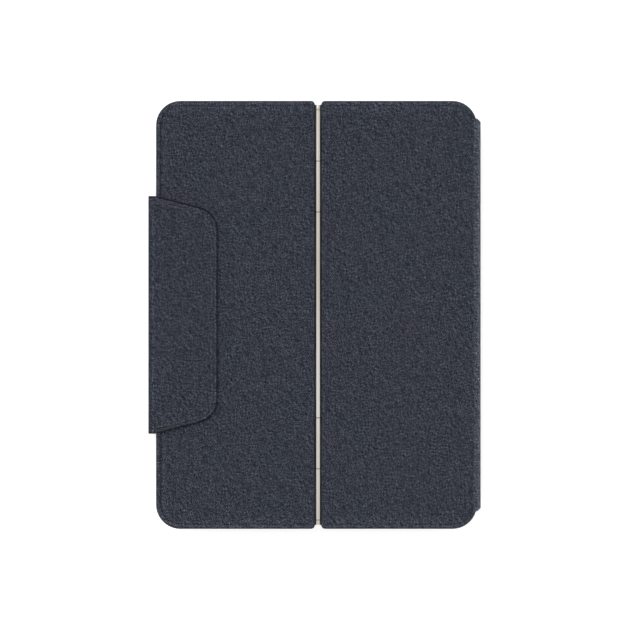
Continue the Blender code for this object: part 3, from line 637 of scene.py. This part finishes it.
def welded_top(start, z):
    """Profile from a rolled edge inwards: thin welded rim, pressed line, then the fuller middle. The rim gets
    a painted highlight and the pressed line, besides its own darker tone, painted shade, both stronger or
    weaker at the ends and the sides as the light falls on them.

    At the plain edges the same bands lie close together, just inside start, where flat_skin fades them.
    """
    rim, groove = z - WELD_DROP, z - GROOVE_DROP
    line = PRESSED_INSET
    return [
        (line - 1.3, start + 0.2, rim, (-1.0, -0.5), 0),
        (line - 0.5, start + 0.35, rim - 0.02, (-0.5, 0.4), 0),
        (line, start + 0.5, groove, (0.6, 1.3), 0),
        (line + 0.4, start + 0.65, rim + 0.02, (-0.6, 0.3), 0),
        (line + 1.1, start + 0.8, z - 0.01, (-0.5, -0.2), 0),
        (line + 5.0, start + 3.0, z, 0.0, 0),
    ]


def even(*bands):
    """Profile entries, from (inset, z, value for pressed lines and painted light), that are the same at every
    edge.
    """
    return [(inset, inset, z, pressed_and_painted_light, 0) for inset, z, pressed_and_painted_light in bands]


def panel_profile(z_in, z_out, radius):
    """A cover panel: cloth turned in round the board, a rolled edge and the welded top."""
    under = [(1.6, 1.4, z_in + 0.5, 0.0, 0)]
    turned = even((1.0, z_in + 0.04, 0.0), (0.4, z_in, 0.0))
    turned += even((0.08, z_in + 0.18, 0.0), (0.0, z_in + 0.5, 0.0))
    rolled = roll(z_out - radius, z_out - WELD_DROP, radius)
    # painted shade on the outside of the rolled edge, turning to a painted highlight over its top
    edge = even(*[(inset, z, 0.8 - 1.5 * inset) for inset, z in rolled])
    return under + turned + edge + welded_top(radius, z_out)


def corners_of(low, high, radii):
    """Corners of a rectangle, anticlockwise from the low one."""
    places = ((low.x, low.y), (high.x, low.y), (high.x, high.y), (low.x, high.y))
    return [(x, y, r) for (x, y), r in zip(places, radii)]


def panel_skins():
    """Cloth outside and microfibre inside, for both cover panels."""
    big, small = CASE_CORNER_R, SLOT_CORNER_R
    profile = panel_profile(FREE[0].z, FREE[1].z, PANEL_EDGE_R)
    slot_fade, spine_fade = 5.0, 14.0  # how far from an edge with no rim the pressed line dies out
    slot_edge = (1, 3)  # number of the edge at the slot, on the free panel and on the hinged one
    free_radii, hinged_radii = (big, small, small, big), (small, big, big, small)
    free_soft = [(FREE[1].x, slot_fade)]
    hinged_soft = [(HINGED[0].x, slot_fade), (HINGED[1].x, spine_fade)]
    left, right = corners_of(*FREE, free_radii), corners_of(*HINGED, hinged_radii)
    skin = flat_skin("free_panel_cloth", left, profile, [CLOTH_MATERIAL], (slot_edge[0],), free_soft)
    settle(skin, "cover_free_panel", "outer_cloth", "free_panel_fabric")
    skin = flat_skin("hinge_panel_cloth", right, profile, [CLOTH_MATERIAL], (slot_edge[1],), hinged_soft)
    settle(skin, "cover_hinge_panel", "outer_cloth", "hinge_panel_fabric")
    for side, radii in (("free", free_radii), ("hinge", hinged_radii)):
        low, high = box(f"{side}_panel_lining")
        eased = [radius - 1 if radius == big else radius for radius in radii]
        corners = corners_of(low, high, eased)
        skin = flat_skin(f"{side}_panel_microfibre", corners, lining_profile(low.z, high.z), [LINING])
        settle(skin, f"cover_{side}_panel", "microfibre_lining", f"{side}_panel_lining")


def lining_profile(low, high):
    """A lining seen from below: a faint pressed line and an eased edge."""
    face, back = low + 0.02, high - 0.05
    line = even((6.0, face, 0.0), (2.4, face, 0.0), (2.1, low + 0.16, 1.0), (1.8, face, 0.0))
    return line + even((0.25, face, 0.0), (0.0, low + 0.2, 0.0), (0.0, back, 0.0), (3.0, back, 0.0))


def shell_skins():
    """Back cloth, seen from below, and the lining that the tray stands on."""
    low, high = SHELL
    line, rim, step_down = PRESSED_INSET, SHELL_RIM_W, high.z - 0.3
    corners = corners_of(low, high, (CASE_CORNER_R,) * 4)
    profile = [(line + 6.0, line + 6.0, 0.0, 0.0, 0), (line + 0.9, 6.0, 0.0, 0.0, 0)]
    profile += [(line, 4.0, 0.18, 1.0, 0), (line - 0.8, 3.0, 0.05, 0.1, 0)]
    rolled = roll(rim, rim - SHELL_EDGE_R, SHELL_EDGE_R)
    profile += even(*[(inset, z, 0.0) for inset, z in reversed(rolled)])
    profile += even((0.0, step_down, 0.0), (0.12, high.z, 0.0), (0.55, high.z, 0.0), (0.7, step_down, 0.0))
    cloth = flat_skin("shell_back_cloth", corners, profile, [CLOTH_MATERIAL])
    bore_through(cloth, CAMERA, CAMERA_HOLE_R)
    settle(cloth, "rear_shell", "outer_cloth", "shell_back_fabric")

    bed_low, bed_high = box("tablet_bed_lining")
    inner = [(x - math.copysign(rim, x), y - math.copysign(rim, y), r - rim) for x, y, r in corners]
    profile = even((3.0, bed_low.z, 0.0), (0.0, bed_low.z, 0.0), (0.0, bed_high.z - 0.15, 0.0))
    profile += even((0.2, bed_high.z, 0.0), (5.0, bed_high.z, 0.0))
    lining = flat_skin("shell_microfibre", inner, profile, [LINING])
    bore_through(lining, CAMERA, CAMERA_HOLE_R)
    settle(lining, "rear_shell", "microfibre_lining", "tablet_bed_lining", "shell_border_lining")


def flap_skin():
    """The clasp's flap: its ends slope in to a rounded free edge, with a welded rim, a painted shadow line
    along its edge and painted highlights inside it.
    """
    low, high = FLAP
    root, tip = low.x, high.x + FLAP_OVERHANG
    corners = [
        (root, low.y, 0.0),
        (root + FLAP_SHOULDER, low.y, 0.0),
        (tip, low.y + FLAP_SLOPE, FLAP_CORNER_R),
        (tip, high.y - FLAP_SLOPE, FLAP_CORNER_R),
        (root + FLAP_SHOULDER, high.y, 0.0),
        (root, high.y, 0.0),
    ]
    z_in, z_out = low.z, high.z
    line = PRESSED_INSET - 0.3
    rim = z_in + FLAP_RIM_H
    # painted shadow: the flap's edge wall and the band just inside its edge are darkened as the shadow line
    # along the edge; the bands inside the rim and beside the pressed line get painted highlights
    wall = (1.9, 1.6)
    profile = [
        (3.0, 0.4, z_in + 0.02, 0.0, 1),
        (1.3, 0.3, z_in + 0.02, 0.0, 0),
        (0.5, 0.1, z_in, 0.0, 0),
        (0.12, 0.02, z_in + 0.15, 0.0, 0),
        (0.0, 0.0, z_in + 0.45, wall, 0),
        (0.0, 0.0, rim - 0.55, wall, 0),
        (0.16, 0.02, rim - 0.16, wall, 0),
        (0.50, 0.05, rim, (2.0, 1.5), 0),
        (0.80, 0.06, rim, (1.2, -0.7), 0),
        (1.20, 0.07, rim, -0.3, 0),
        (line - 0.45, 0.1, rim + 0.02, 0.0, 0),
        (line, 0.15, rim - 0.04, 0.8, 0),
        (line + 0.5, 0.2, rim + 0.20, -0.9, 0),
        (line + 1.4, 0.25, z_out - 0.12, 0.0, 0),
        (line + 3.0, 0.4, z_out, 0.1, 0),
        (line + 6.0, 0.6, z_out, 0.1, 0),
    ]
    root_edge, root_fade = 5, 3.0
    materials = [CLOTH_MATERIAL, LINING]
    flap = flat_skin("clasp_flap_cloth", corners, profile, materials, (root_edge,), [(root, root_fade)])
    settle(flap, "clasp_flap", "outer_cloth", "clasp_flap_fabric", "clasp_flap_lining")


# ---- cloth round the folds ----------------------------------------------------------------------
SLEEVE_ROWS = 48
FACE_LIFT = 0.02  # keeps a sleeve's face off the face it runs on from


def arc_points(centre, radius, start, end, steps=8):
    """Points of an arc in the X-Z plane; angles in degrees from +X towards +Z."""
    angles = [math.radians(start + (end - start) * step / steps) for step in range(steps + 1)]
    return [(centre[0] + radius * math.cos(a), centre[1] + radius * math.sin(a)) for a in angles]


def sleeve(name, outside, inside, end_at, cloth_start, direction):
    """Cloth outside and lining inside, closed round a strip along Y.

    outside and inside are (x, z, value for pressed lines and painted light) paths from the same end. The
    cloth's own width is counted from cloth_start along the outside, so that its weave runs on from the
    panel's.
    """
    skin = Skin()
    rings = []
    path = outside + inside[::-1]
    lined = [0] * len(outside) + [1] * len(inside)
    sides = [min(lined[i], lined[(i + 1) % len(path)]) for i in range(len(path))]
    lengths = [0.0]
    for (x0, z0, _), (x1, z1, _) in zip(path, path[1:]):
        lengths.append(lengths[-1] + math.hypot(x1 - x0, z1 - z0))
    for row in range(SLEEVE_ROWS + 1):
        share = -1 + 2 * row / SLEEVE_ROWS
        points = [(x, share * end_at(x), z) for x, z, _ in path]
        cloth = [(cloth_start + direction * length, point[1]) for length, point in zip(lengths, points)]
        rings.append(skin.ring(points, cloth, [pressed_and_painted_light for _, _, pressed_and_painted_light in path]))
    for low, high in zip(rings, rings[1:]):
        skin.bridge(low, high, sides)
    skin.cap(rings[0])
    skin.cap(rings[-1])
    return skin.make(name, [CLOTH_MATERIAL, LINING], 50.0)


def spine_end(x):
    """Half length of the spine at x: its ends slope in towards the outside."""
    inner, outer = UPPER_FOLD[1].y, SPINE[1].y
    start = UPPER_FOLD[0].x
    share = min(max((x - start) / (OUTER_X - start), 0.0), 1.0)
    return inner + (outer - inner) * share


def turned_down(pivot, out, up, angles, lining_x, middle):
    """Outside and inside paths from a fold's bend down to the middle of the strip's height."""
    outer_x = pivot[0] + out * FOLD_RADIUS
    inner = arc_points(pivot, FOLD_RADIUS - CLOTH, *angles, 4)
    inside = [(x, z, 0.0) for x, z in inner]
    inside += [(lining_x + out * 0.5, pivot[1] - up * 1.1, 0.0), (lining_x, pivot[1] - up * 1.7, 0.0)]
    inside += [(lining_x, middle, 0.0)]
    below = [(outer_x, pivot[1] - up * 2.3, 0.0), (outer_x, middle, 0.0)]
    return arc_points(pivot, FOLD_RADIUS, *angles), below, inside


def spine_sleeves():
    """The spine's cloth in two halves, each bending over the fold at its cover or its shell."""
    middle = (LOWER_FOLD[0].z + UPPER_FOLD[1].z) / 2
    hinge_x = OUTER_X - FOLD_RADIUS
    start = hinge_x - 3.2

    def half(z_face, up, name, panel_body, lift):
        """up is 1 for the fold at the cover and -1 for the one at the shell."""
        pivot = (hinge_x, z_face - up * FOLD_RADIUS)
        face = z_face + up * lift
        turn, below, inner = turned_down(pivot, 1, up, (90 * up, 0), OUTER_X - FOLD_LINING, middle)
        # painted highlight on the face near the fold and over the fold, and a little painted shade down the
        # side below it
        outside = [(start, face, -0.8), (start + 1.7, face, -1.5), (start + 2.1, face - up * 0.06, -0.9)]
        outside += [(start + 2.5, face - up * 0.01, -2.0)]
        outside += [(x, z, FOLD_PAINTED_HIGHLIGHT) for x, z in turn]
        outside += [(OUTER_X, pivot[1] - up * 1.6, 0.1), (OUTER_X - 0.03, pivot[1] - up * 1.9, 0.3)]
        inside = [(start, z_face - up * CLOTH, 0.0)] + inner
        strip = sleeve(name, outside + below, inside, spine_end, start, 1.0)
        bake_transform(strip)
        return strip

    lower = half(0.0, -1, "spine_lower_cloth", "rear_shell", 0.0)
    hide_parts("spine_lower_fold_fabric", "spine_fabric")
    upper = half(CASE_TOP, 1, "spine_upper_cloth", "cover_hinge_panel", FACE_LIFT)
    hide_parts("spine_upper_fold_fabric")


def clasp_sleeves():
    """The clasp strip's cloth in two halves, over the fold at the shell and the one at the flap."""
    top = FLAP[1].z
    middle = top / 2
    hinge_x = CLASP_X + FOLD_RADIUS
    half_length = CLASP_UPPER[1].y

    def half(z_face, up, name, bodies, reach, lift):
        """reach is how far the cloth runs in over the face, from the fold."""
        pivot = (hinge_x, z_face - up * FOLD_RADIUS)
        face = z_face + up * lift
        start = hinge_x + reach
        angles = (90 * up, 180 * up)
        turn, below, inner = turned_down(pivot, -1, up, angles, CLASP_X + FOLD_LINING, middle)
        # darker where the sleeve starts, a painted highlight along the crease beside it, and painted shade
        # round the fold
        outside = [(start, face - up * 0.1, 0.6), (start - 0.35, face, -0.9), (start - 0.9, face, -0.6)]
        outside += [(start - 1.6, face, 0.2)]
        outside += [(x, z, 0.25) for x, z in turn]
        inside = [(start, z_face - up * CLOTH, 0.0)] + inner
        strip = sleeve(name, outside + below, inside, lambda _x: half_length, start, -1.0)
        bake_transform(strip)
        return strip

    lower = half(0.0, -1, "clasp_lower_cloth", ("rear_shell", "clasp_strip"), 4.4, -FACE_LIFT)
    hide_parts("clasp_lower_fold_fabric", "clasp_strip_fabric")
    upper = half(top, 1, "clasp_upper_cloth", ("clasp_flap", "clasp_strip"), 2.6, FACE_LIFT)
    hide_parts("clasp_upper_fold_fabric")


# ---- steel hinge --------------------------------------------------------------------------------
TUBE_SIDES = 56
TURNED_SMOOTH = 32.0  # degrees: under this, an edge of a turned piece is shaded smooth
BORE_R = 0.95
BORE_DEPTH = 2.0
EASED = 0.14  # off the edges of the tubes' ends
LEAF_Z = (16.4, 17.1)
LEAF_INSET = 3.0  # from a knuckle's ends to its leaf
LEAF_CORNER_R = 0.6
LEAF_EASED = 0.08
LEAF_START = 0.6  # from the hinge's axis, inside the tube's wall
CENTRE_LEAVES = [(20.0, 44.0), (-44.0, -20.0)]
PIN_R = 0.75
PIN_POINT_R, PIN_POINT_L = 0.6, 0.3  # the pin's tapered inner end
PIN_HEAD_L = 2.9
PIN_DOME_L = 0.9


def turned_into(skin, stations):
    """A closed piece turned about the hinge's axis; stations are (y, radius).

    Material 0 is for the full radius, and 1 for ends, bores and whatever is thinner; on the tubes, 1 is
    painted near black as the shade in the seams and bores.
    """
    rings = []
    for y, radius in stations:
        around = arc_points(TUBE_AXIS, radius, 0, 360, TUBE_SIDES)[:-1]
        rings.append(skin.ring([(x, y, z) for x, z in around]))
    radii = [radius for _, radius in stations]
    for low, high, thinner in zip(rings, rings[1:], map(min, radii, radii[1:])):
        skin.bridge(low, high, 0 if thinner > TUBE_R - 0.01 else 1)
    skin.cap(rings[0])
    skin.cap(rings[-1])


def leaf_into(skin, near, far, low_y, high_y):
    """A leaf from near to far, with its far corners rounded, painted near black as the shade seen in the
    slot's gap.
    """
    corner, square = LEAF_CORNER_R, 0.0
    radii = (square, corner, corner, square) if far > near else (corner, square, square, corner)
    low, high = Vector((min(near, far), low_y)), Vector((max(near, far), high_y))
    corners = corners_of(low, high, radii)
    bottom, top = LEAF_Z
    eased = LEAF_EASED
    rings = []
    for inset, z in ((eased, bottom), (0.0, bottom + eased), (0.0, top - eased), (eased, top)):
        rings.append(skin.ring(level(rounded_outline(corners, [inset] * 4, 3, 30.0), z)))
    for lower, upper in zip(rings, rings[1:]):
        skin.bridge(lower, upper, 1)
    skin.cap(rings[0], 1)
    skin.cap(rings[-1], 1)


def hinge_tubes():
    """Every knuckle again with a round tube, eased ends and its leaves."""
    pieces = [("hinge_centre_tube", "cover_free_panel", CENTRE_LEAVES)]
    for end in ("top", "bottom"):
        for kind, body in (("inner", "cover_hinge_panel"), ("outer", "cover_free_panel")):
            node = f"hinge_{kind}_knuckle_{end}"
            low, high = box(node)
            pieces.append((node, body, [(low.y + LEAF_INSET, high.y - LEAF_INSET)]))
    for node, body, leaves in pieces:
        low, high = box(node)
        skin = Skin()
        first_end = [(low.y + BORE_DEPTH, BORE_R), (low.y, BORE_R)]
        first_end += [(low.y, TUBE_R - EASED), (low.y + EASED, TUBE_R)]
        other_end = [(high.y + low.y - y, radius) for y, radius in reversed(first_end)]
        turned_into(skin, first_end + other_end)
        far = low.x if body == "cover_free_panel" else high.x
        near = TUBE_AXIS[0] + math.copysign(LEAF_START, far - TUBE_AXIS[0])
        for leaf_low, leaf_high in leaves:
            leaf_into(skin, near, far, leaf_low, leaf_high)
        # leaves, eased ends and bores in near black: painted shade in the slot's gaps and the hinge's seams
        tube = skin.make(node + "_turned", [STEEL, SHADE_DARK_STEEL], TURNED_SMOOTH)
        settle(tube, body, "hinge_steel", node)


def hinge_pins():
    """A thin pin at each end of the hinge, with a bright domed head."""
    for end, sign in (("top", 1), ("bottom", -1)):
        node = f"hinge_pin_{end}"
        low, high = box(node)
        tip, root = (high.y, low.y) if sign > 0 else (low.y, high.y)
        head = tip - sign * PIN_HEAD_L
        stations = [(root, PIN_POINT_R), (root + sign * PIN_POINT_L, PIN_R), (head, PIN_R)]
        stations += [(head, TUBE_R - EASED), (head + sign * EASED, TUBE_R)]
        for angle in (0, 0.4, 0.8, 1.2, 1.5):
            y = tip - sign * PIN_DOME_L * (1 - math.sin(angle))
            stations.append((y, TUBE_R - PIN_R * (1 - math.cos(angle))))
        skin = Skin()
        turned_into(skin, stations)
        bright_all_over = [STEEL, STEEL]
        pin = skin.make(node + "_turned", bright_all_over, TURNED_SMOOTH)
        settle(pin, "cover_free_panel", "hinge_steel", node)


# ---- keys ---------------------------------------------------------------------------------------
UNIT = 16.6
ROW = 15.8
FUNCTION_ROW = 8.4
KEY_GAP = 2.4
TOTAL_UNITS = 14.5
FUNCTION_KEYS = 14
FULL_ROWS = 5
CAP_CORNER_R = 1.5
ARROW_GAP = 0.8  # between the two half height arrow keys
LETTER_SIZE, WORD_SIZE = 3.6, 2.5
PRINT_DEPTH = 0.055  # of the legends under the highest point of a cap
ARROWS = "arrow_keys"
# rows from the typist's side: (node, first unit, widths in units, legends)
KEY_ROWS = [
    [
        ("left_modifier_keys", 0.0, [1.0, 1.0, 1.0, 1.25], ["fn", "ctrl", "alt", "cmd"]),
        ("space_bar", 4.25, [5.0], [""]),
        ("right_modifier_keys", 9.25, [1.25, 1.0], ["cmd", "alt"]),
        (ARROWS, 11.5, [1.0, 1.0, 1.0], ["<", "v", ">"]),
    ],
    [("lower_letter_keys", 0.0, [2.1] + [1.0] * 10 + [2.4], ["shift", *"ZXCVBNM,./", "shift"])],
    [
        ("home_letter_keys", 0.0, [1.7] + [1.0] * 11, ["caps", *"ASDFGHJKL;'"]),
        ("return_key", 12.7, [1.8], ["return"]),
    ],
    [("upper_letter_keys", 0.0, [1.5] + [1.0] * 13, ["tab", *"QWERTYUIOP[]", "\\"])],
    [("number_keys", 0.0, [1.0] * 13 + [1.5], [*"`1234567890-=", "delete"])],
    [
        (
            "function_keys",
            0.0,
            [TOTAL_UNITS / FUNCTION_KEYS] * FUNCTION_KEYS,
            ["esc", *(str(number) for number in range(1, 13)), "o"],
        )
    ],
]


def key_cells():
    """(node, x span, y span, legend) of every keycap."""
    low, high = KEYBOARD
    margin = ((high.y - low.y) - TOTAL_UNITS * UNIT) / 2
    x = (low.x + high.x - FULL_ROWS * ROW - FUNCTION_ROW) / 2
    half = KEY_GAP / 2
    cells = []
    for row in KEY_ROWS:
        pitch = FUNCTION_ROW if row[0][0] == "function_keys" else ROW
        span_x = (x + half, x + pitch - half)
        for node, unit, widths, legends in row:
            for number, (width, legend) in enumerate(zip(widths, legends)):
                y = low.y + margin + unit * UNIT
                span_y = (y + half, y + width * UNIT - half)
                if node == ARROWS and number == 1:
                    low_end, high_start = (sum(span_x) - ARROW_GAP) / 2, (sum(span_x) + ARROW_GAP) / 2
                    cells.append((node, (span_x[0], low_end), span_y, legend))
                    cells.append((node, (high_start, span_x[1]), span_y, "^"))
                else:
                    cells.append((node, span_x, span_y, legend))
                unit += width
        x += pitch
    return cells


def keycap_into(skin, span_x, span_y, top, base):
    """A cap with rounded corners, a soft top edge and a shallow dish. Its top faces down."""
    low, high = Vector((span_x[0], span_y[0])), Vector((span_x[1], span_y[1]))
    corners = corners_of(low, high, (CAP_CORNER_R,) * 4)
    profile = [(0.0, base), (0.0, top + 1.2), (0.12, top + 0.7), (0.3, top + 0.3), (0.5, top + 0.1)]
    profile += [(0.85, top), (1.4, top + 0.03), (2.2, top + 0.10)]
    rings = []
    for inset, z in profile:
        rings.append(skin.ring(level(rounded_outline(corners, [inset] * 4, 4, 40.0), z)))
    for lower, upper in zip(rings, rings[1:]):
        skin.bridge(lower, upper)
    skin.cap(rings[0])
    skin.cap(rings[-1])


def legend_into(skin, text, span_x, span_y, z):
    """Flat letters on a key that faces down: right is +Y and up is +X."""
    if not text:
        return
    curve = bpy.data.curves.new("legend", "FONT")
    curve.body = text
    curve.size = (LETTER_SIZE if len(text) == 1 else WORD_SIZE) * MM
    curve.align_x = "CENTER"
    curve.align_y = "CENTER"
    curve.resolution_u = 3
    holder = bpy.data.objects.new("legend", curve)
    mesh = holder.to_mesh()
    centre = Vector((sum(span_x) / 2, sum(span_y) / 2, z)) * MM
    verts = []
    for vertex in mesh.vertices:
        place = Vector((centre.x + vertex.co.y, centre.y + vertex.co.x, centre.z))
        verts.append(skin.bm.verts.new(place))
    for polygon in mesh.polygons:
        skin.cap([verts[i] for i in polygon.vertices])
    holder.to_mesh_clear()
    bpy.data.objects.remove(holder)
    bpy.data.curves.remove(curve)


def keycaps():
    """One piece of caps for each group of keys, and one of their legends."""
    cells = key_cells()
    for node in sorted({cell[0] for cell in cells}):
        low, high = box(node)
        skin = Skin()
        for name, span_x, span_y, _legend in cells:
            if name == node:
                keycap_into(skin, span_x, span_y, low.z, high.z)
        caps = skin.make(node + "_caps", [KEYCAP], 40.0)
        settle(caps, node + "_body", "keycap", node)
        print_skin = Skin()
        for name, span_x, span_y, legend in cells:
            if name == node:
                legend_into(print_skin, legend, span_x, span_y, low.z + PRINT_DEPTH)
        if print_skin.bm.faces:
            letters = print_skin.make(node + "_legends", [INK], 40.0)
            settle(letters, node + "_body", "keycap")
        else:
            print_skin.bm.free()


# ---- setting ------------------------------------------------------------------------------------
VIEW_WIDTH = 376.5 * MM  # what the view spans at the cover
LENS, SENSOR = 100.0, 36.0
VIEW_CENTRE = (0.18 * MM, -0.06 * MM)
FLOOR_SIZE = 6.0
FLOOR_GAP = 0.2 * MM
SUN_FROM = (-0.42, 0.60, 1.0)


def setting():
    """A pale floor, an even studio, a soft sun and the camera straight above."""
    bpy.ops.mesh.primitive_plane_add(size=FLOOR_SIZE, location=(0.0, 0.0, -FLOOR_GAP))
    floor = bpy.context.object
    floor.name = "floor"
    n = Nodes("pale_floor")
    cloud = n.noise(n.place(), 1.5, 2.0)
    colour = n.mix(cloud, (0.92, 0.92, 0.92, 1), (0.95, 0.95, 0.95, 1))
    floor.data.materials.append(n.finish(colour, 0.9, Emission_Color=(1, 1, 1, 1), Emission_Strength=0.5))

    world = bpy.data.worlds.new("studio")
    bpy.context.scene.world = world
    world.use_nodes = True
    background = world.node_tree.nodes["Background"]
    background.inputs["Color"].default_value = (1.0, 0.99, 0.975, 1.0)
    background.inputs["Strength"].default_value = 0.8

    sun = bpy.data.lights.new("window", "SUN")
    sun.energy = 0.75
    sun.angle = math.radians(30)
    sun.color = (1.0, 0.995, 0.98)
    lamp = bpy.data.objects.new("window", sun)
    lamp.rotation_euler = Vector(SUN_FROM).to_track_quat("Z", "Y").to_euler()
    bpy.context.scene.collection.objects.link(lamp)

    camera_data = bpy.data.cameras.new("camera")
    camera_data.lens = LENS
    camera_data.sensor_width = SENSOR
    camera = bpy.data.objects.new("camera", camera_data)
    camera.location = (*VIEW_CENTRE, CASE_TOP * MM + VIEW_WIDTH * LENS / SENSOR)
    bpy.context.scene.collection.objects.link(camera)
    bpy.context.scene.camera = camera
    bpy.context.scene.view_settings.view_transform = "Standard"


dress_cad_nodes()
panel_skins()
shell_skins()
flap_skin()
spine_sleeves()
clasp_sleeves()
hinge_tubes()
hinge_pins()
keycaps()
setting()

bpy.context.view_layer.update()
